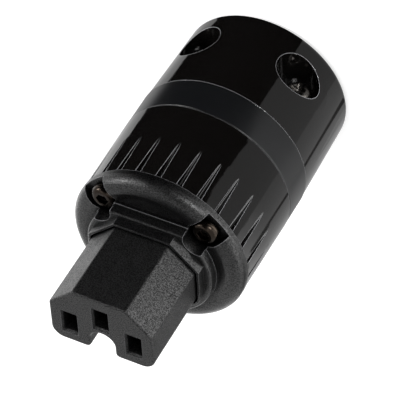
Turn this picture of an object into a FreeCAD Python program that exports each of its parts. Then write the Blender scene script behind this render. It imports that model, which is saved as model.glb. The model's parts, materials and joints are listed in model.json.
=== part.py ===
import FreeCAD, Part
import math
import os

# A rewirable appliance connector, standing on its rear end.
# +Z runs along the barrel towards the nose, -Y is the side of the earth slot,
# and the origin is the middle of the rear end. Lengths are in millimetres.

V = FreeCAD.Vector
X_AXIS, Z_AXIS = V(1, 0, 0), V(0, 0, 1)

# Barrel: it is thickest at the band, where the mould parts, and drafts both ways.
# Its waist is drawn round the cover screws, and its other radii are set below the waist.
shell_length = 48.0
waist_past_screws = 3.863
rear_waist_set = 0.15
rear_draft = 0.55
front_draft = 0.15
barrel_wall = 2.3
rear_wall = 2.2
rear_edge_round = 1.5
cable_hole_radius = 8.75
cable_hole_round = 0.8
bore_corner_round = 1.2

# Band in its groove round the barrel
front_section_length = 18.9
band_width = 7.6
band_set = 0.05
band_thickness = 0.85
band_play = 0.04
band_edge_round = 0.2
waist_edge_break = 0.15

# Flutes that run out of the front edge of the barrel
flute_count = 26
flute_length = 9.8
flute_depth = 1.2
flute_bottom_round = 0.3
flute_side_lean = 18.0

# Cord clamp: two screws in round wells draw one jaw towards the other
clamp_screw_to_bore = 5.6
clamp_height = 8.5
well_radius = 4.3
well_wall = 1.5
well_floor_to_bore = 8.3
well_floor_thickness = 1.5
clamp_screw_radius = 1.75
clamp_hole_play = 0.2
clamp_head_radius = 2.9
clamp_head_height = 2.0
clamp_head_flat = 1.2
clamp_head_lift = 0.05
clamp_recess_length = 3.3
clamp_recess_width = 0.85
clamp_recess_depth = 1.1
clamp_tip_past_nut = 1.3
jaw_end_gap = 0.6
jaw_width = 7.6
jaw_mouth = 8.6
fixed_jaw_thickness = 2.5
moving_jaw_thickness = 3.4
fixed_hump_play = 0.4
fixed_hump_wall = 2.6
moving_hump_wall = 2.9
moving_hump_gap = 1.55
jaw_web = 1.0
grip_ridge_count = 3
grip_ridge_depth = 0.5
nut_side = 5.6
nut_thickness = 2.3
nut_play = 0.15
nut_thread_play = 0.05

# Front cover, with its heights above the end of the barrel
cover_set = 0.03
cover_rim_height = 0.9
valley_width = 1.65
shoulder_crest_height = 3.5
shoulder_valley_height = 3.15
ledge_side_width = 0.2
ledge_flat_width = 0.45
ledge_height = 4.0
platform_side_width = 1.6
platform_flat_width = 0.9
platform_height = 6.0
platform_edge_round = 0.5
collar_height = 8.0
collar_width = 0.9
collar_edge_round = 0.18
lip_gap = 0.45
lip_depth = 1.3
nose_play = 0.08
spigot_depth = 3.0
spigot_wall = 1.5
spigot_play = 0.1

# Screws that hold the cover to the barrel, in pockets that run out through the shoulder
screw_inside_nose = 0.2
screw_past_nose = 0.9
cover_pocket_play = 0.35
cover_pocket_height = 1.3
cover_seat_height = 1.7
cover_seat_inset = 0.5
cover_screw_radius = 1.5
cover_screw_length = 10.5
cover_head_radius = 2.8
cover_head_height = 1.65
cover_head_flat = 1.8
cover_socket_across = 2.4
cover_socket_depth = 1.1
cover_hole_play = 0.15
insert_wall = 0.6
insert_length = 8.0
insert_play = 0.02
insert_groove_depth = 0.3
insert_groove_width = 1.0
insert_groove_starts = (2.0, 5.0)
column_wall = 1.2
column_foot_radius = 5.0
column_jaw_gap = 0.5
screw_end_room = 2.0

# Nose: its outline is a chamfered block with a keyway along the side away from earth
nose_reach = 18.0
nose_past_poles = 4.25
nose_past_earth = 5.83
nose_chamfer = 5.4
nose_corner_round = 2.7
nose_edge_round = 0.8
nose_face_round = 0.5
keyway_width = 5.45
keyway_depth = 5.4
keyway_to_earth_slot = 0.77
keyway_corner_round = 1.0
keyway_run_in = 1.0

# Contact slots in the nose
pole_pitch = 14.0
pole_y = 0.56
earth_offset = 4.03
slot_width = 3.1
slot_height = 5.6
mouth_side_flare = 0.3
mouth_end_flare = 0.4
mouth_depth = 0.6

# Spring contacts
contact_end_play = 0.5
contact_side_play = 0.1
contact_pinch_in = 0.15
contact_strip = 0.45
contact_setback = 4.0
contact_pinch_setback = 6.8
contact_base = 1.2
contact_stud_radius = 1.2
contact_stud_bite = 1.2

# Terminal carrier behind the nose
carrier_length = 11.0
carrier_play = 0.3
carrier_front_wall = 1.4
carrier_rib_radius = 2.0
column_play = 0.3

# Screw heads: shares of the head's own size that give its rim and the fullness of its dome
dome_rim_share = 0.2
dome_side_share = 0.72
dome_height_share = 0.66
screw_lead_share = 0.3
round_handle_share = 0.5523
rib_foot_share = 0.5

# Screw terminals
terminal_reach = 5.2
terminal_span = 6.4
terminal_length = 9.0
terminal_play = 0.1
wire_room_reach = 3.6
wire_room_span = 4.2
wire_room_length = 6.8
terminal_screw_radius = 1.5
terminal_thread_play = 0.02
terminal_screw_rear = 3.2
terminal_head_radius = 2.4
terminal_head_height = 1.6
terminal_head_gap = 0.9
terminal_slot_width = 0.7
terminal_slot_depth = 0.8
plate_thickness = 0.8
plate_length = 5.0
plate_play = 0.1
plate_dish_radius = 4.0
plate_dish_depth = 0.32

# Directions in which the terminals face, round the nose
line_side_angle = 180.0
neutral_side_angle = 0.0
earth_side_angle = -90.0

# Places worked out from the sizes above
over = 1.0
touch = 0.001
sides = (("left", -1), ("right", 1))
mouth_width = slot_width + 2 * mouth_side_flare
mouth_height = slot_height + 2 * mouth_end_flare
contact_height = slot_height - 2 * contact_end_play
contact_gap = slot_width - 2 * (contact_strip + contact_side_play)
contact_pinch = contact_gap - 2 * contact_pinch_in

earth_y = pole_y - earth_offset
nose_half_width = pole_pitch / 2 + nose_past_poles
nose_earth_side = nose_past_earth - earth_y
keyway_top = earth_y + mouth_height / 2 + keyway_to_earth_slot
nose_key_side = keyway_top + keyway_depth
cover_screw_x = nose_half_width - screw_inside_nose
cover_screw_y = nose_earth_side + screw_past_nose
cover_pocket_radius = cover_head_radius + cover_pocket_play
cover_seat_radius = cover_head_radius - cover_seat_inset

waist_radius = math.hypot(cover_screw_x, cover_screw_y) + waist_past_screws
rear_waist_radius = waist_radius - rear_waist_set
rear_radius = rear_waist_radius - rear_draft
front_radius = waist_radius - front_draft
bore_radius = waist_radius - barrel_wall
band_end = shell_length - front_section_length
band_start = band_end - band_width
band_radius = waist_radius - band_set
groove_radius = band_radius - band_thickness - band_play

cover_radius = waist_radius - cover_set
platform_radius = nose_half_width + collar_width + platform_side_width
platform_flat = nose_earth_side + collar_width + platform_flat_width
ledge_radius = platform_radius + ledge_side_width
ledge_flat = platform_flat + ledge_flat_width
shoulder_crest_radius = ledge_radius + valley_width
spigot_radius = bore_radius - spigot_play
spigot_inner_radius = spigot_radius - spigot_wall
insert_radius = cover_screw_radius + insert_wall
column_radius = insert_radius + column_wall
column_clearance = column_radius + column_play

clamp_x = bore_radius - clamp_screw_to_bore
clamp_hole_radius = clamp_screw_radius + clamp_hole_play
well_floor_y = bore_radius - well_floor_to_bore
jaw_seat_y = well_floor_y - well_floor_thickness
jaw_top = clamp_height + jaw_width / 2
jaw_half_length = bore_radius - carrier_rib_radius - jaw_end_gap
fixed_jaw_inner_y = jaw_seat_y - fixed_jaw_thickness
fixed_hump_half = clamp_x - well_radius - well_wall - fixed_hump_play
saddle_radius = math.hypot(fixed_hump_half, jaw_seat_y - jaw_web)
cord_passage_radius = saddle_radius - grip_ridge_depth
fixed_hump_y = saddle_radius + fixed_hump_wall
moving_jaw_inner_y = jaw_mouth - fixed_jaw_inner_y
moving_jaw_outer_y = moving_jaw_inner_y + moving_jaw_thickness
moving_hump_half = clamp_x - nut_side / 2 - nut_play - moving_hump_gap
moving_hump_y = saddle_radius + moving_hump_wall
nut_seat_y = moving_jaw_outer_y - nut_thickness
clamp_tip_y = moving_jaw_outer_y + clamp_tip_past_nut

nose_front = shell_length + collar_height + nose_reach
nose_rear = shell_length - spigot_depth
carrier_rear = nose_rear - carrier_length
terminal_front = nose_rear - carrier_front_wall
terminal_rear = terminal_front - terminal_length
terminal_screw_z = terminal_rear + terminal_screw_rear
poles = (
    ("line", -pole_pitch / 2, pole_y, line_side_angle),
    ("neutral", pole_pitch / 2, pole_y, neutral_side_angle),
    ("earth", 0.0, earth_y, earth_side_angle),
)


def box(x0, x1, y0, y1, z0, z1):
    return Part.makeBox(x1 - x0, y1 - y0, z1 - z0, V(x0, y0, z0))


def rod(radius, start, end):
    run = end.sub(start)
    return Part.makeCylinder(radius, run.Length, start, run)


def upright(x, y, radius, z0, z1):
    return rod(radius, V(x, y, z0), V(x, y, z1))


def along_y(x, z, radius, y0, y1):
    return rod(radius, V(x, y0, z), V(x, y1, z))


def turn_step(centre, radius, middle_angle, end_angle):
    """An arc of an outline, as its middle and end points."""
    points = []
    for angle in (middle_angle, end_angle):
        a = math.radians(angle)
        points.append((centre[0] + radius * math.cos(a), centre[1] + radius * math.sin(a)))
    return tuple(points)


def outline(place, start, *steps):
    """A closed face: each step is a point for a straight run, or two points for an arc."""
    edges = []
    last = place(*start)
    for step in steps:
        if isinstance(step[0], tuple):
            middle, end = place(*step[0]), place(*step[1])
            edges.append(Part.Arc(last, middle, end).toShape())
        else:
            end = place(*step)
            edges.append(Part.makeLine(last, end))
        last = end
    edges.append(Part.makeLine(last, place(*start)))
    return Part.Face(Part.Wire(edges))


def radial(r, z):
    return V(r, 0, z)


def flat(x, y):
    return V(x, y, 0)


def revolve(face):
    return face.revolve(V(0, 0, 0), Z_AXIS, 360)


def prism(face, z0, z1):
    lifted = face.copy()
    lifted.translate(V(0, 0, z0))
    return lifted.extrude(V(0, 0, z1 - z0))


def fused(first, others):
    return first.multiFuse(list(others)).removeSplitter()


def edges_at(shape, test):
    return [edge for edge in shape.Edges if test(edge)]


def barrel_outline():
    """Outer form of the barrel as a solid, with the band's groove."""
    corner = rear_edge_round
    face = outline(
        radial, (0, 0), (rear_radius - corner, 0),
        turn_step((rear_radius - corner, corner), corner, -45, 0),
        (rear_waist_radius, band_start), (groove_radius, band_start),
        (groove_radius, band_end), (waist_radius - waist_edge_break, band_end),
        (waist_radius, band_end + waist_edge_break),
        (front_radius, shell_length), (0, shell_length))
    return revolve(face)


def barrel_hollow():
    """The bore, with a rounded floor corner, and the cable hole with its rounded lip."""
    corner = bore_corner_round
    lip = cable_hole_round
    face = outline(
        radial, (0, -over), (cable_hole_radius + lip, -over), (cable_hole_radius + lip, 0),
        turn_step((cable_hole_radius + lip, lip), lip, -135, -180),
        (cable_hole_radius, rear_wall), (bore_radius - corner, rear_wall),
        turn_step((bore_radius - corner, rear_wall + corner), corner, -45, 0),
        (bore_radius, shell_length + over), (0, shell_length + over))
    return revolve(face)


def flute_cutter():
    """A keel with a round bottom and leaning sides, which slopes in to the barrel's front edge."""
    slope = (waist_radius - front_radius) / (shell_length - band_end)
    apex = V(0, -(front_radius + slope * flute_length), shell_length - flute_length)
    front = V(0, -(front_radius - flute_depth), shell_length)
    past_each_end = (front - apex) * (over / flute_length)
    start = apex - past_each_end
    lean = math.radians(flute_side_lean)
    foot = flute_bottom_round * math.cos(lean)
    foot_height = flute_bottom_round * (1 - math.sin(lean))
    height = flute_depth + over
    top = foot + (height - foot_height) * math.tan(lean)
    face = outline(lambda x, rise: V(x, start.y - rise, start.z), (-foot, foot_height),
                   ((0, 0), (foot, foot_height)), (top, height), (-top, height))
    return face.extrude(front + past_each_end - start)


def flutes():
    cutter = flute_cutter()
    cutters = []
    for index in range(flute_count):
        copy = cutter.copy()
        copy.rotate(V(0, 0, 0), Z_AXIS, 360.0 / flute_count * index)
        cutters.append(copy)
    return Part.makeCompound(cutters)


def well_tubes():
    """Walls round the two clamp-screw wells."""
    tubes = []
    for name, side in sides:
        tubes.append(along_y(side * clamp_x, clamp_height, well_radius + well_wall,
                             -rear_waist_radius, -jaw_seat_y))
    return tubes


def screw_columns():
    """Columns for the threaded inserts, which stand on the wells and carry the carrier."""
    columns = []
    for name, side in sides:
        x, y = side * cover_screw_x, -cover_screw_y
        foot = jaw_top + column_jaw_gap
        columns.append(upright(x, y, column_radius, foot, shell_length))
        columns.append(upright(x, y, column_foot_radius, foot, carrier_rear))
    return columns


def carrier_ribs():
    """Ribs up the bore that the carrier rests on."""
    ribs = []
    for angle in (0, 90, 180):
        a = math.radians(angle)
        x, y = bore_radius * math.cos(a), bore_radius * math.sin(a)
        ribs.append(upright(x, y, carrier_rib_radius,
                            rear_wall * rib_foot_share, carrier_rear))
    return ribs


def housing_shell():
    solid = barrel_outline()
    inner = [piece.common(solid) for piece in well_tubes() + screw_columns() + carrier_ribs()]
    cuts = []
    for name, side in sides:
        x = side * clamp_x
        outside = -rear_waist_radius - over
        cuts.append(along_y(x, clamp_height, well_radius, outside, -well_floor_y))
        cuts.append(along_y(x, clamp_height, clamp_hole_radius, outside, 0))
        x, y = side * cover_screw_x, -cover_screw_y
        top = shell_length + over
        cuts.append(upright(x, y, insert_radius + insert_play, shell_length - insert_length, top))
        screw_end = shell_length + cover_seat_height - cover_screw_length - screw_end_room
        cuts.append(upright(x, y, cover_screw_radius + cover_hole_play, screw_end, top))
    shell = fused(solid.cut(barrel_hollow()), inner)
    return shell.cut(Part.makeCompound(cuts)).cut(flutes())


def centre_band():
    """A band stretched into the barrel's groove, with softened edges."""
    inner = band_radius - band_thickness
    soft = band_edge_round
    z0, z1 = band_start + band_play, band_end - band_play
    face = outline(
        radial, (inner, z0), (band_radius - soft, z0),
        turn_step((band_radius - soft, z0 + soft), soft, -45, 0),
        (band_radius, z1 - soft),
        turn_step((band_radius - soft, z1 - soft), soft, 45, 90),
        (inner, z1))
    return revolve(face)


def nose_face(grow=0.0):
    """Outline of the nose, or one that stands outside it by grow all round."""
    slide = grow * math.tan(math.radians(22.5))
    half = nose_half_width + grow
    top = -(nose_earth_side + grow)
    flat_half = nose_half_width - nose_chamfer + slide
    shoulder = -(nose_earth_side - nose_chamfer + slide)
    bottom = nose_key_side + grow
    corner = nose_corner_round + grow
    return outline(
        flat, (-flat_half, top), (flat_half, top), (half, shoulder), (half, bottom - corner),
        turn_step((half - corner, bottom - corner), corner, 45, 90),
        (corner - half, bottom),
        turn_step((corner - half, bottom - corner), corner, 135, 180),
        (-half, shoulder))


def keyway_cutter():
    """An arched groove with rounded outer corners."""
    half = keyway_width / 2
    soft = keyway_corner_round
    bottom = nose_key_side
    arch_y = keyway_top + half
    face = outline(
        flat, (half + soft, bottom + over), (half + soft, bottom),
        turn_step((half + soft, bottom - soft), soft, 135, 180),
        (half, arch_y), turn_step((0, arch_y), half, -90, -180),
        (-half, bottom - soft),
        turn_step((-half - soft, bottom - soft), soft, 45, 90),
        (-half - soft, bottom + over))
    return prism(face, shell_length + collar_height - keyway_run_in, nose_front + over)


def slot_cutter(x, y):
    """A contact slot through the nose, with a stepped lead-in at its mouth."""
    half_w, half_h = slot_width / 2, slot_height / 2
    way = box(x - half_w, x + half_w, y - half_h, y + half_h, nose_rear - over, nose_front)
    rims = []
    steps = ((slot_width, slot_height, mouth_depth), (mouth_width, mouth_height, 0.0))
    for width, height, depth in steps:
        z = nose_front - depth
        corners = [(-1, -1), (1, -1), (1, 1), (-1, 1), (-1, -1)]
        points = [V(x + i * width / 2, y + j * height / 2, z) for i, j in corners]
        rims.append(Part.makePolygon(points))
    return way.fuse(Part.makeLoft(rims, True, True))


def is_upright_corner(edge):
    room = edge.BoundBox
    return room.ZLength > nose_reach and room.XLength < touch and room.YMax < 0


def nose_body():
    block = prism(nose_face(), nose_rear, nose_front)
    block = block.makeFillet(nose_edge_round, edges_at(block, is_upright_corner))
    block = block.cut(keyway_cutter())
    rim = edges_at(block, lambda e: e.BoundBox.ZMin > nose_front - touch)
    block = block.makeFillet(nose_face_round, rim)
    flange = upright(0, 0, spigot_inner_radius - spigot_play, nose_rear, shell_length)
    for name, side in sides:
        flange = flange.cut(upright(side * cover_screw_x, -cover_screw_y, column_clearance,
                                    nose_rear - over, shell_length + over))
    block = fused(block, [flange])
    return block.cut(Part.makeCompound([slot_cutter(x, y) for name, x, y, angle in poles]))


def flatted_disc(radius, flat_y, z0, z1):
    disc = upright(0, 0, radius, z0, z1)
    return disc.common(box(-radius, radius, -flat_y, flat_y, z0, z1))


def shoulder():
    """The cover's rounded shoulder, which dips towards its stepped middle."""
    rim = shell_length + cover_rim_height
    crest = shell_length + shoulder_crest_height
    valley = shell_length + shoulder_valley_height
    spread = cover_radius - shoulder_crest_radius
    rise = crest - rim
    curve = Part.BezierCurve()
    curve.setPoles([
        V(cover_radius, 0, rim), V(cover_radius, 0, rim + rise * round_handle_share),
        V(shoulder_crest_radius + spread * round_handle_share, 0, crest),
        V(shoulder_crest_radius, 0, crest)])
    points = [V(shoulder_crest_radius, 0, crest), V(ledge_radius, 0, valley), V(0, 0, valley),
              V(0, 0, shell_length), V(cover_radius, 0, shell_length), V(cover_radius, 0, rim)]
    edges = [curve.toShape()] + [Part.makeLine(a, b) for a, b in zip(points, points[1:])]
    return revolve(Part.Face(Part.Wire(edges)))


def cover_steps():
    """The ledge, the platform and the collar that step up to the nose."""
    valley = shell_length + shoulder_valley_height - over
    ledge = flatted_disc(ledge_radius, ledge_flat, valley, shell_length + ledge_height)
    top = shell_length + platform_height
    platform = flatted_disc(platform_radius, platform_flat, valley, top)
    rim = edges_at(platform, lambda e: e.BoundBox.ZMin > top - touch)
    platform = platform.makeFillet(platform_edge_round, rim)
    top = shell_length + collar_height
    collar = prism(nose_face(collar_width), valley, top)
    rim = edges_at(collar, lambda e: e.BoundBox.ZMin > top - touch)
    return [ledge, platform, collar.makeFillet(collar_edge_round, rim)]


def cover_pocket(side):
    """A slot round the screw that runs out through the shoulder, with a raised seat and a hole."""
    x, y = side * cover_screw_x, -cover_screw_y
    floor = shell_length + cover_pocket_height
    top = shell_length + collar_height + over
    half = cover_pocket_radius
    slot = fused(upright(0, 0, half, floor, top), [box(0, cover_radius, -half, half, floor, top)])
    slot = slot.cut(upright(0, 0, cover_seat_radius, floor, shell_length + cover_seat_height))
    slot.rotate(V(0, 0, 0), Z_AXIS, math.degrees(math.atan2(y, x)))
    slot.translate(V(x, y, 0))
    hole = upright(x, y, cover_screw_radius + cover_hole_play, shell_length - over, top)
    return [slot, hole]


def front_cover():
    cover = fused(shoulder(), cover_steps())
    spigot = upright(0, 0, spigot_radius, nose_rear, shell_length)
    spigot = spigot.cut(upright(0, 0, spigot_inner_radius, nose_rear, shell_length))
    cuts = []
    for name, side in sides:
        spigot = spigot.cut(upright(side * cover_screw_x, -cover_screw_y, column_clearance,
                                    nose_rear - over, shell_length + over))
        cuts.extend(cover_pocket(side))
    top = shell_length + collar_height
    cuts.append(prism(nose_face(nose_play), shell_length - over, top + over))
    cuts.append(prism(nose_face(lip_gap), top - lip_depth, top + over))
    cover = cover.cut(cuts[0].multiFuse(cuts[1:]))
    return fused(cover, [spigot])


def contact_leaf():
    """One leaf of a contact: it bends in to grip the pin and flares at its tip."""
    base = nose_rear + contact_base
    tip = nose_front - contact_setback
    pinch = nose_front - contact_pinch_setback
    bend = (base + pinch) / 2
    wide, tight = contact_gap / 2, contact_pinch / 2
    strip = contact_strip
    points = [(wide, base), (wide + strip, base), (wide + strip, bend), (tight + strip, pinch),
              (wide + strip, tip), (wide, tip), (tight, pinch), (wide, bend), (wide, base)]
    wire = Part.makePolygon([V(x, -contact_height / 2, z) for x, z in points])
    return Part.Face(wire).extrude(V(0, contact_height, 0))


def contact(x, y):
    half = contact_gap / 2 + contact_strip
    leaf = contact_leaf()
    other = leaf.mirror(V(0, 0, 0), X_AXIS)
    base = box(-half, half, -contact_height / 2, contact_height / 2,
               nose_rear, nose_rear + contact_base)
    stud = upright(0, 0, contact_stud_radius, terminal_front - contact_stud_bite, nose_rear)
    piece = fused(base, [leaf, other, stud])
    piece.translate(V(x, y, 0))
    return piece


def placed(shape, x, y, angle):
    """Turns a piece drawn with its outward side at +X to its pole's own direction."""
    shape.rotate(V(0, 0, 0), Z_AXIS, angle)
    shape.translate(V(x, y, 0))
    return shape


def terminal(x, y, angle):
    u, v = terminal_reach / 2, terminal_span / 2
    block = box(-u, u, -v, v, terminal_rear, terminal_front)
    ru, rv = wire_room_reach / 2, wire_room_span / 2
    room = box(-ru, ru, -rv, rv, terminal_rear - over, terminal_rear + wire_room_length)
    thread = rod(terminal_screw_radius + terminal_thread_play,
                 V(0, 0, terminal_screw_z), V(u + over, 0, terminal_screw_z))
    rivet = upright(0, 0, contact_stud_radius + terminal_thread_play,
                    terminal_front - contact_stud_bite, terminal_front + over)
    return placed(block.cut(Part.makeCompound([room, thread, rivet])), x, y, angle)


def terminal_screw(x, y, angle):
    """A slotted screw that presses the clamp plate on the wire."""
    tip = wire_room_reach / 2
    under_head = terminal_reach / 2 + terminal_head_gap
    top = under_head + terminal_head_height
    z = terminal_screw_z
    shank = rod(terminal_screw_radius, V(tip, 0, z), V(under_head, 0, z))
    head = rod(terminal_head_radius, V(under_head, 0, z), V(top, 0, z))
    half = terminal_slot_width / 2
    slot = box(top - terminal_slot_depth, top + over, -terminal_head_radius - over,
               terminal_head_radius + over, z - half, z + half)
    return placed(fused(shank, [head]).cut(slot), x, y, angle)


def clamp_plate(x, y, angle):
    """A dished plate under the screw, between it and the wire."""
    outer = wire_room_reach / 2
    half = wire_room_span / 2 - plate_play
    z = terminal_screw_z
    plate = box(outer - plate_thickness, outer, -half, half, z - plate_length / 2,
                z + plate_length / 2)
    middle = outer - plate_thickness + plate_dish_depth - plate_dish_radius
    dish = rod(plate_dish_radius, V(middle, 0, z - plate_length), V(middle, 0, z + plate_length))
    return placed(plate.cut(dish), x, y, angle)


def carrier_back():
    """The insulating block that holds the terminals apart and closes the nose."""
    block = upright(0, 0, bore_radius - carrier_play, carrier_rear, nose_rear)
    cuts = []
    for name, side in sides:
        cuts.append(upright(side * cover_screw_x, -cover_screw_y, column_clearance,
                            carrier_rear - over, nose_rear + over))
    u, v = terminal_reach / 2 + terminal_play, terminal_span / 2 + terminal_play
    access = terminal_head_radius + terminal_head_gap
    for name, x, y, angle in poles:
        room = box(-u, u, -v, v, carrier_rear - over, terminal_front)
        way = box(0, bore_radius, -access, access, terminal_screw_z - access,
                  terminal_screw_z + access)
        stud = upright(0, 0, contact_stud_radius + terminal_play, terminal_front, nose_rear + over)
        cuts.append(placed(fused(room, [way, stud]), x, y, angle))
    return block.cut(Part.makeCompound(cuts))


def jaw_saddle():
    """Cutter for a jaw's saddle: a round channel with ridges left to grip the cord."""
    z0 = clamp_height - jaw_width / 2
    pitch = jaw_width / grip_ridge_count
    points = [(0, z0), (saddle_radius, z0)]
    for index in range(grip_ridge_count):
        middle = z0 + (index + 0.5) * pitch
        points.append((cord_passage_radius, middle))
        points.append((saddle_radius, middle + pitch / 2))
    points.append((0, z0 + jaw_width))
    return revolve(outline(radial, *points))


def jaw_bar(inner_y, outer_y, hump_y, hump_half):
    """A bar across the barrel with a hump behind its saddle; y values run from the cord out."""
    z0, z1 = clamp_height - jaw_width / 2, clamp_height + jaw_width / 2
    low, high = sorted((inner_y, outer_y))
    bar = box(-jaw_half_length, jaw_half_length, low, high, z0, z1)
    low, high = sorted((inner_y, hump_y))
    hump = box(-hump_half, hump_half, low, high, z0, z1)
    return fused(bar, [hump])


def fixed_jaw():
    jaw = jaw_bar(-fixed_jaw_inner_y, -jaw_seat_y, -fixed_hump_y, fixed_hump_half)
    jaw = jaw.cut(jaw_saddle())
    holes = [along_y(side * clamp_x, clamp_height, clamp_hole_radius, -jaw_seat_y - over, 0)
             for name, side in sides]
    return jaw.cut(Part.makeCompound(holes))


def moving_jaw():
    jaw = jaw_bar(moving_jaw_inner_y, moving_jaw_outer_y, moving_hump_y, moving_hump_half)
    jaw = jaw.cut(jaw_saddle())
    cuts = []
    half = nut_side / 2 + nut_play
    for name, side in sides:
        cuts.append(along_y(side * clamp_x, clamp_height, clamp_hole_radius, 0,
                            moving_jaw_outer_y + over))
        low, high = sorted((side * (clamp_x - half), side * (jaw_half_length + over)))
        cuts.append(box(low, high, nut_seat_y, moving_jaw_outer_y + over,
                        clamp_height - half, clamp_height + half))
    return jaw.cut(Part.makeCompound(cuts))


def clamp_nut(side):
    half = nut_side / 2
    x = side * clamp_x
    block = box(x - half, x + half, nut_seat_y, nut_seat_y + nut_thickness,
                clamp_height - half, clamp_height + half)
    return block.cut(along_y(x, clamp_height, clamp_screw_radius + nut_thread_play,
                             nut_seat_y - over, moving_jaw_outer_y + over))


def domed_screw(head_radius, head_height, flat_radius, shank_radius, length):
    """A screw along Z with its seat at z = 0, its domed head above and its shank below."""
    rim = head_height * dome_rim_share
    side = (flat_radius + (head_radius - flat_radius) * dome_side_share,
            rim + (head_height - rim) * dome_height_share)
    lead = shank_radius * screw_lead_share
    face = outline(
        radial, (0, -length), (shank_radius - lead, -length), (shank_radius, -length + lead),
        (shank_radius, 0), (head_radius, 0), (head_radius, rim),
        (side, (flat_radius, head_height)), (0, head_height))
    return revolve(face)


def clamp_screw(side):
    """A pan-head screw with a cross recess, pointing across the barrel from its well."""
    seat = well_floor_y + clamp_head_lift
    screw = domed_screw(clamp_head_radius, clamp_head_height, clamp_head_flat,
                        clamp_screw_radius, seat + clamp_tip_y)
    long, wide = clamp_recess_length / 2, clamp_recess_width / 2
    low, high = clamp_head_height - clamp_recess_depth, clamp_head_height + over
    recess = fused(box(-long, long, -wide, wide, low, high),
                   [box(-wide, wide, -long, long, low, high)])
    tapered = recess.common(Part.makeCone(wide, long + over * long / clamp_recess_depth,
                                          high - low, V(0, 0, low)))
    screw = screw.cut(tapered)
    screw.rotate(V(0, 0, 0), X_AXIS, 90)
    screw.translate(V(side * clamp_x, -seat, clamp_height))
    return screw


def cover_screw(side):
    """A button-head screw with a hexagon socket."""
    screw = domed_screw(cover_head_radius, cover_head_height, cover_head_flat,
                        cover_screw_radius, cover_screw_length)
    corner = cover_socket_across / 2 / math.cos(math.radians(30))
    points = [V(corner * math.cos(math.radians(60 * k)), corner * math.sin(math.radians(60 * k)),
                cover_head_height - cover_socket_depth) for k in range(7)]
    socket = Part.Face(Part.makePolygon(points)).extrude(V(0, 0, cover_socket_depth + over))
    screw = screw.cut(socket)
    screw.translate(V(side * cover_screw_x, -cover_screw_y, shell_length + cover_seat_height))
    return screw


def threaded_insert(side):
    """A brass insert in its column, with two grooves that lock it in the plastic."""
    z0, z1 = shell_length - insert_length, shell_length
    x, y = side * cover_screw_x, -cover_screw_y
    body = upright(x, y, insert_radius, z0, z1)
    body = body.cut(upright(x, y, cover_screw_radius + insert_play, z0 - over, z1 + over))
    inner = insert_radius - insert_groove_depth
    for start in insert_groove_starts:
        low = z0 + start
        groove = upright(x, y, insert_radius + over, low, low + insert_groove_width)
        body = body.cut(groove.cut(upright(x, y, inner, z0, z1)))
    return body


def build():
    pieces = {
        "housing_shell": housing_shell(),
        "centre_band": centre_band(),
        "front_cover": front_cover(),
        "nose_body": nose_body(),
        "carrier_back": carrier_back(),
        "fixed_jaw": fixed_jaw(),
        "moving_jaw": moving_jaw(),
    }
    for name, side in sides:
        pieces["cover_screw_" + name] = cover_screw(side)
        pieces["threaded_insert_" + name] = threaded_insert(side)
        pieces["clamp_screw_" + name] = clamp_screw(side)
        pieces["clamp_nut_" + name] = clamp_nut(side)
    for name, x, y, angle in poles:
        pieces[name + "_contact"] = contact(x, y)
        pieces[name + "_terminal"] = terminal(x, y, angle)
        pieces[name + "_terminal_screw"] = terminal_screw(x, y, angle)
        pieces[name + "_clamp_plate"] = clamp_plate(x, y, angle)
    return pieces


os.makedirs("parts", exist_ok=True)
for node, shape in build().items():
    if shape.ShapeType == "Compound" and len(shape.Solids) == 1:
        shape = shape.Solids[0]
    shape.exportStep("parts/" + node + ".step")
    print(node, "solids", len(shape.Solids), "valid", shape.isValid(),
          "volume", round(shape.Volume, 2))
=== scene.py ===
import json
from math import cos, radians, sin

import bpy
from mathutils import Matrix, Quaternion, Vector

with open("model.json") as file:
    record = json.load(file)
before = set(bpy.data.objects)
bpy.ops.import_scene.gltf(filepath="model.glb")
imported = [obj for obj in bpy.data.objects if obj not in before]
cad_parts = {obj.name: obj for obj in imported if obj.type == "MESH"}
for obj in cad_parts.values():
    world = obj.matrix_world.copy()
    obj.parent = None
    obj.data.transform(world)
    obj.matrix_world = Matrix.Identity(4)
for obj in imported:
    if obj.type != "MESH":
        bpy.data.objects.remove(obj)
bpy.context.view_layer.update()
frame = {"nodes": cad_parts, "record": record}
MM = 0.001

# The view: the camera looks down at the earth side and is rolled, so that the connector lies
# across the picture with its nose at the lower left
VIEW_TARGET = Vector((-1.693, 0.712, 34.977)) * MM
VIEW_DISTANCE = 606.4 * MM
VIEW_AZIMUTH = -23.32
VIEW_ELEVATION = 35.23
VIEW_ROLL = -146.67
LENS = 272.7
NEAREST, FARTHEST = 0.01, 20.0

# Sockets of the node that mixes two colours
MIX_SHARE, MIX_FIRST, MIX_SECOND, MIX_RESULT = 0, 6, 7, 2

# Rays that feel for corners and for shelter, and how far they reach in millimetres
FEELERS = 8
POCKET_REACH = 4.0
CORNER_REACH = 0.5

# How open the bottom of a pocket and open ground are, between which the painted shade fades,
# and the same for inner and outer corners, which bound the painted edge highlight
POCKET_OPENNESS = (0.15, 0.75)
CORNER_OPENNESS = (0.7, 0.95)

# The match of the eased normal with the own one on flat ground and on a full corner
CORNER_MATCH = (0.995, 0.85)

# The part of a noise's range that is mapped, because it hardly ever comes near 0 or 1
CLOUD_RANGE = (0.35, 0.7)
SPECK_RANGE = (0.36, 0.64)
USUAL_SPECULAR = 0.5
PLATING_PATCH = 0.9

WHITE, BLACK = (1, 1, 1, 1), (0, 0, 0, 1)


def direction(azimuth, elevation):
    """A unit vector; azimuth 0 is -Y and 90 is +X."""
    a, e = radians(azimuth), radians(elevation)
    return Vector((sin(a) * cos(e), -cos(a) * cos(e), sin(e)))


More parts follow.
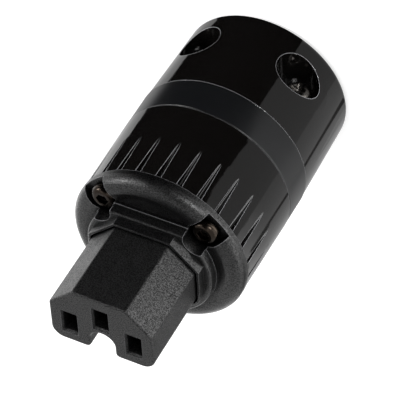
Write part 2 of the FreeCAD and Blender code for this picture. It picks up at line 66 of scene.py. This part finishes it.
def make_camera():
    back = direction(VIEW_AZIMUTH, VIEW_ELEVATION)
    bpy.ops.object.camera_add(location=VIEW_TARGET + back * VIEW_DISTANCE)
    camera = bpy.context.object
    turn = (-back).to_track_quat("-Z", "Y") @ Quaternion((0, 0, 1), radians(VIEW_ROLL))
    camera.rotation_mode = "QUATERNION"
    camera.rotation_quaternion = turn
    camera.data.lens = LENS
    camera.data.sensor_width = 36.0
    camera.data.clip_start, camera.data.clip_end = NEAREST, FARTHEST
    bpy.context.scene.camera = camera


# Building blocks of the materials
def linear(code):
    """An sRGB hex colour as the linear RGBA that Blender's sockets take."""
    channels = []
    for i in (1, 3, 5):
        c = int(code[i:i + 2], 16) / 255
        channels.append(c / 12.92 if c <= 0.04045 else ((c + 0.055) / 1.055) ** 2.4)
    return (*channels, 1.0)


def per_mm(size):
    """The scale that makes a pattern's feature this many millimetres in Object coordinates."""
    return 1 / (size * MM)


def new_material(name):
    material = bpy.data.materials.new(name)
    material.use_nodes = True
    tree = material.node_tree
    return material, tree, tree.nodes["Principled BSDF"]


def add(tree, kind, settings=None, values=None, links=None):
    """Adds one node with its settings, socket values and incoming links."""
    node = tree.nodes.new(kind)
    for name, value in (settings or {}).items():
        setattr(node, name, value)
    for name, value in (values or {}).items():
        node.inputs[name].default_value = value
    for name, socket in (links or {}).items():
        tree.links.new(socket, node.inputs[name])
    return node


def spread(source, target):
    """Socket values that map one range to another."""
    return {"From Min": source[0], "From Max": source[1], "To Min": target[0], "To Max": target[1]}


def cloudy(tree, shader, place, size, roughness):
    """Clouds so many millimetres wide, by which the roughness drifts between two values."""
    clouds = add(tree, "ShaderNodeTexNoise",
                 values={"Scale": per_mm(size), "Detail": 4.0, "Roughness": 0.6},
                 links={"Vector": place}).outputs["Fac"]
    drift = add(tree, "ShaderNodeMapRange", values=spread(CLOUD_RANGE, roughness),
                links={"Value": clouds})
    tree.links.new(drift.outputs["Result"], shader.inputs["Roughness"])
    return clouds


def speckle(tree, place, size, target):
    """A fine speckle between two values, for a texture that sparks in the light."""
    specks = add(tree, "ShaderNodeTexNoise",
                 values={"Scale": per_mm(size), "Detail": 1.0, "Roughness": 0.5},
                 links={"Vector": place})
    return add(tree, "ShaderNodeMapRange", values=spread(SPECK_RANGE, target),
               links={"Value": specks.outputs["Fac"]}).outputs["Result"]


def uneven(tree, place, normal, size, depth, detail, roughness=0.5):
    """Lays lumps on a normal; size is one width in millimetres, or three along X, Y and Z."""
    if isinstance(size, tuple):
        place = add(tree, "ShaderNodeMapping", values={"Scale": [per_mm(s) for s in size]},
                    links={"Vector": place}).outputs["Vector"]
        scale = 1.0
    else:
        scale = per_mm(size)
    lumps = add(tree, "ShaderNodeTexNoise",
                values={"Scale": scale, "Detail": detail, "Roughness": roughness},
                links={"Vector": place})
    return add(tree, "ShaderNodeBump", values={"Distance": depth * MM},
               links={"Height": lumps.outputs["Fac"], "Normal": normal}).outputs["Normal"]


def open_share(tree, reach, sheltered, target):
    """Maps how open a place is, judged over so many millimetres, from one range to another."""
    shelter = add(tree, "ShaderNodeAmbientOcclusion", {"samples": FEELERS},
                  {"Distance": reach * MM})
    return add(tree, "ShaderNodeMapRange", values=spread(sheltered, target),
               links={"Value": shelter.outputs["AO"]}).outputs["Result"]


def corner_share(tree, eased):
    """Where the painted edge highlight goes: 0 on flat ground and 1 on an outer corner, where
    the eased normal leaves the own one.
    """
    own = add(tree, "ShaderNodeNewGeometry").outputs["Normal"]
    match = add(tree, "ShaderNodeVectorMath", {"operation": "DOT_PRODUCT"},
                links={0: eased, 1: own})
    turned = add(tree, "ShaderNodeMapRange", values=spread(CORNER_MATCH, (0.0, 1.0)),
                 links={"Value": match.outputs["Value"]})
    outer = open_share(tree, CORNER_REACH, CORNER_OPENNESS, (0.0, 1.0))
    return add(tree, "ShaderNodeMath", {"operation": "MULTIPLY"},
               links={0: turned.outputs["Result"], 1: outer}).outputs[0]


def moulded(name, colours, edge_highlight, roughness, ior, cloud, edge, grain, wave, spark=0.0,
            pocket=0.0):
    """A moulded plastic: clouds of two colours, a painted highlight on outer corners, painted
    shade in pockets, the mould's grain and flow waves.

    Sizes are in millimetres: cloud and edge are the clouds' width and the corners' radius, and
    grain and wave are each a width and a depth. spark is how far the grain swings the specular
    level, and pocket is the share of the colour, and of the specular level, that the painted
    shade leaves at the bottom of a pocket.
    """
    material, tree, shader = new_material(name)
    shader.inputs["IOR"].default_value = ior
    place = add(tree, "ShaderNodeTexCoord").outputs["Object"]
    clouds = cloudy(tree, shader, place, cloud, roughness)
    eased = add(tree, "ShaderNodeBevel", {"samples": FEELERS},
                {"Radius": edge * MM}).outputs["Normal"]
    # Painted shade: the colour darkens towards the bottom of pockets and recesses, down to the
    # pocket share
    painted_pocket_shade = open_share(tree, POCKET_REACH, POCKET_OPENNESS, (pocket, 1.0))

    first, second = colours
    tint = add(tree, "ShaderNodeMix", {"data_type": "RGBA"},
               {MIX_FIRST: linear(first), MIX_SECOND: linear(second)}, {MIX_SHARE: clouds})
    # Painted highlight: a paler colour is mixed onto outer corners, in place of the light that a
    # rounded edge catches
    edge_lit = add(tree, "ShaderNodeMix", {"data_type": "RGBA"}, {MIX_SECOND: linear(edge_highlight)},
               {MIX_SHARE: corner_share(tree, eased), MIX_FIRST: tint.outputs[MIX_RESULT]})
    shaded = add(tree, "ShaderNodeVectorMath", {"operation": "SCALE"},
                 links={0: edge_lit.outputs[MIX_RESULT], "Scale": painted_pocket_shade})
    tree.links.new(shaded.outputs["Vector"], shader.inputs["Base Color"])

    grain_width, grain_depth = grain
    if spark:
        specks = speckle(tree, place, grain_width,
                         (USUAL_SPECULAR - spark, USUAL_SPECULAR + spark))
        # The painted shade in pockets dims the specular level too
        shaded_specks = add(tree, "ShaderNodeMath", {"operation": "MULTIPLY"},
                     links={0: specks, 1: painted_pocket_shade})
        tree.links.new(shaded_specks.outputs[0], shader.inputs["Specular IOR Level"])
    wave_width, wave_depth = wave
    waves = uneven(tree, place, eased, wave_width, wave_depth, detail=1.0)
    grains = uneven(tree, place, waves, grain_width, grain_depth, detail=2.0, roughness=0.6)
    tree.links.new(grains, shader.inputs["Normal"])
    return material


def plated(name, colours, roughness, mark, mark_depth, edge=0.1):
    """A turned and plated metal: fine tool marks and a slightly uneven plating."""
    material, tree, shader = new_material(name)
    shader.inputs["Metallic"].default_value = 1.0
    place = add(tree, "ShaderNodeTexCoord").outputs["Object"]
    patches = cloudy(tree, shader, place, PLATING_PATCH, roughness)
    first, second = colours
    tint = add(tree, "ShaderNodeMix", {"data_type": "RGBA"},
               {MIX_FIRST: linear(first), MIX_SECOND: linear(second)}, {MIX_SHARE: patches})
    tree.links.new(tint.outputs[MIX_RESULT], shader.inputs["Base Color"])
    eased = add(tree, "ShaderNodeBevel", {"samples": FEELERS},
                {"Radius": edge * MM}).outputs["Normal"]
    marks = uneven(tree, place, eased, mark, mark_depth, detail=2.0)
    tree.links.new(marks, shader.inputs["Normal"])
    return material


def make_materials():
    """One material for each slot of the record, named for what the real one is."""
    return {
        # Polycarbonate from a polished mould: black, mirror-like, with sharp reflections that a
        # slight flow wave bends, painted highlight lines where the flutes and wells have sharp
        # edges, and painted shade in the wells
        "shell_gloss": moulded(
            "polished moulded polycarbonate", colours=("#080706", "#0b0a0a"), edge_highlight="#b8b8bc",
            roughness=(0.05, 0.09), ior=1.53, cloud=6.0, edge=0.16,
            grain=(0.3, 0.0006), wave=(9.0, 0.008), pocket=0.5),
        # Elastomer from a satin mould: cooler black, with reflections blurred to soft patches, a
        # painted highlight on its edges and painted shade in its recesses
        "band_satin": moulded(
            "satin moulded elastomer band", colours=("#0c0d0f", "#0f1012"), edge_highlight="#3c3c3e",
            roughness=(0.295, 0.31), ior=1.53, cloud=3.0, edge=0.12,
            grain=(0.25, 0.004), wave=(8.0, 0.01), pocket=0.5),
        # Nylon from a spark-eroded mould: soft highlights on the shoulder, broken up by grain,
        # painted highlight lines on the steps and painted shade in the pockets and slots. The real
        # grain is near 0.05 mm and is drawn coarser to show
        "cover_texture": moulded(
            "spark textured nylon cover", colours=("#060606", "#080809"), edge_highlight="#87878a",
            roughness=(0.27, 0.37), ior=1.5, cloud=3.0, edge=0.14,
            grain=(0.24, 0.06), wave=(7.0, 0.01), spark=0.28),
        # The same nylon with a duller, stronger grain that glitters on the chamfers, painted
        # highlight lines on its edges and painted shade in its slots. It is drawn coarser than the
        # real 0.05 mm too
        "nose_texture": moulded(
            "spark textured nylon nose", colours=("#080808", "#0a0a0b"), edge_highlight="#5c5c5f",
            roughness=(0.38, 0.46), ior=1.5, cloud=3.0, edge=0.16,
            grain=(0.25, 0.1), wave=(7.0, 0.01), spark=0.32),
        # Glass filled nylon, as moulded: a dull charcoal inside the barrel, with a painted
        # highlight on its edges and painted shade in its recesses
        "carrier_plastic": moulded(
            "moulded glass filled nylon carrier", colours=("#161617", "#1c1c1d"),
            edge_highlight="#2c2c2d", roughness=(0.42, 0.55), ior=1.52, cloud=2.0, edge=0.15,
            grain=(0.3, 0.01), wave=(6.0, 0.01), pocket=0.3),
        # The same nylon a little paler, so that the jaws stand out from the carrier, with the same
        # painted edge highlight and painted shade
        "jaw_nylon": moulded(
            "moulded glass filled nylon jaw", colours=("#1a1a1b", "#222223"),
            edge_highlight="#343436", roughness=(0.42, 0.55), ior=1.52, cloud=2.0, edge=0.15,
            grain=(0.3, 0.012), wave=(5.0, 0.01), pocket=0.3),
        # Black nickel on turned steel: brown-black metal with soft bright glints
        "dark_screw": plated(
            "black nickel plated steel", colours=("#3c352f", "#2a2521"),
            roughness=(0.18, 0.3), mark=0.25, mark_depth=0.004, edge=0.15),
        # Zinc on steel: a mid grey metal that glints at the bottom of the wells
        "clamp_steel": plated(
            "zinc plated steel", colours=("#74716d", "#5a5754"),
            roughness=(0.2, 0.34), mark=0.25, mark_depth=0.004),
        # Turned brass: warm yellow, with rings across the insert's axis
        "insert_brass": plated(
            "turned brass", colours=("#c9a55c", "#b08c46"),
            roughness=(0.22, 0.34), mark=(0.9, 0.9, 0.12), mark_depth=0.006),
        # Tin on bronze strip: a dull, slightly warm grey in the dark of the slots
        "contact_plate": plated(
            "tin plated bronze strip", colours=("#9c9488", "#857b6c"),
            roughness=(0.25, 0.38), mark=0.3, mark_depth=0.004),
        # Milled brass: warm yellow, with cutter marks across the block
        "terminal_brass": plated(
            "machined brass", colours=("#c9a55c", "#b08c46"),
            roughness=(0.22, 0.34), mark=(0.12, 0.9, 0.9), mark_depth=0.006),
    }


def dress_cad_nodes(materials):
    """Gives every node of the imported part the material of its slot."""
    for row in frame["record"]["subparts"]:
        node = frame["nodes"][row["node"]]
        node.data.materials.clear()
        node.data.materials.append(materials[row["material_slot"]])


# Studio: a pale floor, soft lamps, and cards that only reflections see
FLOOR_SIZE = 8.0
FLOOR_DROP = 0.05 * MM
FLOOR_GLOW = 0.45
SKY_LEVEL = 0.75
LAMP_TARGET = Vector((0, 0, 37)) * MM
LAMP_DISTANCE = 800 * MM

# How far off the upper card stands, in millimetres like the corners of every card
UPPER_CARD_DISTANCE = 600

# A step of one millimetre across the dark strip, along X and Y
STRIP_ACROSS = (0.69, 0.72)

# Heights of the floor cards in millimetres: a higher card hides the one below
LOWEST, SECOND, THIRD, HIGHEST = -0.02, -0.016, -0.014, -0.012


def make_card(name, corners, level, far=None):
    """A card that only reflections see, with its corners in millimetres.

    far is another level and the two distances from the axis between which it takes over.
    """
    mesh = bpy.data.meshes.new(name)
    mesh.from_pydata([Vector(c) * MM for c in corners], [], [tuple(range(len(corners)))])
    card = bpy.data.objects.new(name, mesh)
    bpy.context.scene.collection.objects.link(card)
    card.visible_camera = False
    card.visible_diffuse = False
    card.visible_shadow = False
    card.visible_transmission = False
    card.visible_volume_scatter = False

    material, tree, shader = new_material(name)
    shader.inputs["Base Color"].default_value = BLACK
    shader.inputs["Specular IOR Level"].default_value = 0.0
    shader.inputs["Emission Color"].default_value = WHITE
    shader.inputs["Emission Strength"].default_value = level
    if far:
        far_level, start, stop = far
        place = add(tree, "ShaderNodeTexCoord").outputs["Object"]
        reach = add(tree, "ShaderNodeVectorMath", {"operation": "LENGTH"}, links={0: place})
        ramp = add(tree, "ShaderNodeMapRange", {"interpolation_type": "SMOOTHSTEP"},
                   spread((start * MM, stop * MM), (level, far_level)),
                   {"Value": reach.outputs["Value"]})
        tree.links.new(ramp.outputs["Result"], shader.inputs["Emission Strength"])
    card.data.materials.append(material)


def at_height(points, height):
    """The corners of a card that lies flat, from points of the floor."""
    return [(x, y, height) for x, y in points]


def upright(start, end, low, high):
    """The corners of a wall between two points of the floor."""
    return [(*start, low), (*end, low), (*end, high), (*start, high)]


def make_floor():
    bpy.ops.mesh.primitive_plane_add(size=FLOOR_SIZE, location=(0, 0, -FLOOR_DROP))
    floor = bpy.context.object
    floor.name = "floor"
    # Matt pale paper, which the camera and clear reflections see a little brighter, as white
    material, tree, shader = new_material("pale studio floor")
    shader.inputs["Base Color"].default_value = linear("#e6e6e6")
    shader.inputs["Roughness"].default_value = 0.9
    shader.inputs["Specular IOR Level"].default_value = 0.1
    path = add(tree, "ShaderNodeLightPath")
    seen = add(tree, "ShaderNodeMath", {"operation": "MAXIMUM"},
               links={0: path.outputs["Is Camera Ray"], 1: path.outputs["Is Glossy Ray"]})
    seen = add(tree, "ShaderNodeMath", {"operation": "MAXIMUM"},
               links={0: seen.outputs[0], 1: path.outputs["Is Transmission Ray"]})
    glow = add(tree, "ShaderNodeMath", {"operation": "MULTIPLY"}, {1: FLOOR_GLOW},
               {0: seen.outputs[0]})
    shader.inputs["Emission Color"].default_value = WHITE
    tree.links.new(glow.outputs[0], shader.inputs["Emission Strength"])
    floor.data.materials.append(material)


def soft_lamp(name, azimuth, elevation, size, watts):
    """A square soft lamp that faces the middle of the connector."""
    away = direction(azimuth, elevation)
    bpy.ops.object.light_add(type="AREA", location=LAMP_TARGET + away * LAMP_DISTANCE)
    lamp = bpy.context.object
    lamp.name = name
    lamp.rotation_mode = "QUATERNION"
    lamp.rotation_quaternion = away.to_track_quat("Z", "Y")
    lamp.data.size = size
    lamp.data.energy = watts


def make_sky():
    world = bpy.data.worlds.new("studio")
    world.use_nodes = True
    sky = world.node_tree.nodes["Background"]
    sky.inputs["Color"].default_value = WHITE
    sky.inputs["Strength"].default_value = SKY_LEVEL
    bpy.context.scene.world = world


def make_lamps():
    """A weak lamp above, and one for each of the two highlights on the cover's shoulder."""
    soft_lamp("overhead lamp", 22, 63, size=0.7, watts=1.2)
    soft_lamp("left lamp", 64, 28, size=0.2, watts=3.8)
    soft_lamp("right lamp", -36, 27, size=0.2, watts=2.6)
    # Between those two the shoulder reflects a dark place
    views = ((-20, 32), (50, 32), (50, 86), (-20, 86))
    corners = [direction(a, e) * UPPER_CARD_DISTANCE for a, e in views]
    make_card("upper card", corners, 0.0)


def make_floor_cards():
    """Cards on the floor, whose edges lie where those seen in the barrel meet the floor."""
    near_edge = [(-6.0, -12.0), (-22.1, -37.6), (-39.1, -47.1), (-60.0, -69.6)]
    far_edge = [(76.0, 2.8), (62.2, -0.9), (37.1, -7.6), (20.4, -12.3), (12.7, -14.8),
                (8.0, -10.0)]
    # The black middle of the barrel
    black = near_edge + [(-60.0, -110.0), (-40.0, -600.0), (500.0, -500.0), (100.0, -20.0)]
    make_card("black card", at_height(black + far_edge, LOWEST), 0.0)
    # The grey stripe beside it, which is bright only to the nose's chamfer
    grey = [(0.0, 0.0), (-150.0, 40.0), (-260.0, -40.0), (-160.0, -200.0)] + near_edge[::-1]
    make_card("grey card", at_height(grey, LOWEST), 0.41, far=(4.1, 87.0, 101.0))
    # The paler stripe along the barrel's far side
    pale = [(0.0, 0.0), (-17.2, -8.3), (-27.9, -5.9), (-40.3, -3.2), (-57.6, -0.6),
            (-82.3, 4.5), (-120.0, 15.0), (-260.0, 40.0), (-180.0, 260.0), (0.0, 300.0)]
    make_card("pale card", at_height(pale, SECOND), 0.58, far=(1.35, 66.0, 96.0))
    # The nose's side wall is darker than the barrel beside it
    dim = [(-27.0, 78.0), (-70.0, 47.0), (-250.0, 120.0), (-200.0, 300.0), (-20.0, 300.0)]
    make_card("dim card", at_height(dim, THIRD), 0.15)
    # The thin dark line along the pale stripe: points on its middle and half its width there
    streak = [(-18.7, -2.4, 0.5), (-26.2, 6.0, 0.9), (-34.9, 15.8, 1.4), (-47.1, 27.1, 1.9),
              (-64.3, 45.7, 2.8)]
    dx, dy = STRIP_ACROSS
    sides = [(x - dx * w, y - dy * w) for x, y, w in streak]
    sides += [(x + dx * w, y + dy * w) for x, y, w in streak[::-1]]
    make_card("dark strip", at_height(sides, HIGHEST), 0.12)
    # The barrel's other side, which pales towards its edge
    right = [(0.0, 0.0)] + far_edge[::-1] + [(200.0, 30.0), (300.0, 200.0), (0.0, 300.0)]
    make_card("right card", at_height(right, LOWEST), 0.68, far=(1.9, 30.0, 140.0))


def make_upright_cards():
    """A bright wall at one side and a black one in front."""
    make_card("side card", upright((-500.0, -260.0), (-500.0, 350.0), -60.0, 300.0), 2.2)
    make_card("front card", upright((-300.0, -560.0), (650.0, -160.0), -60.0, 330.0), 0.0)


bpy.context.scene.view_settings.view_transform = "Standard"
make_camera()
dress_cad_nodes(make_materials())
make_sky()
make_floor()
make_lamps()
make_floor_cards()
make_upright_cards()
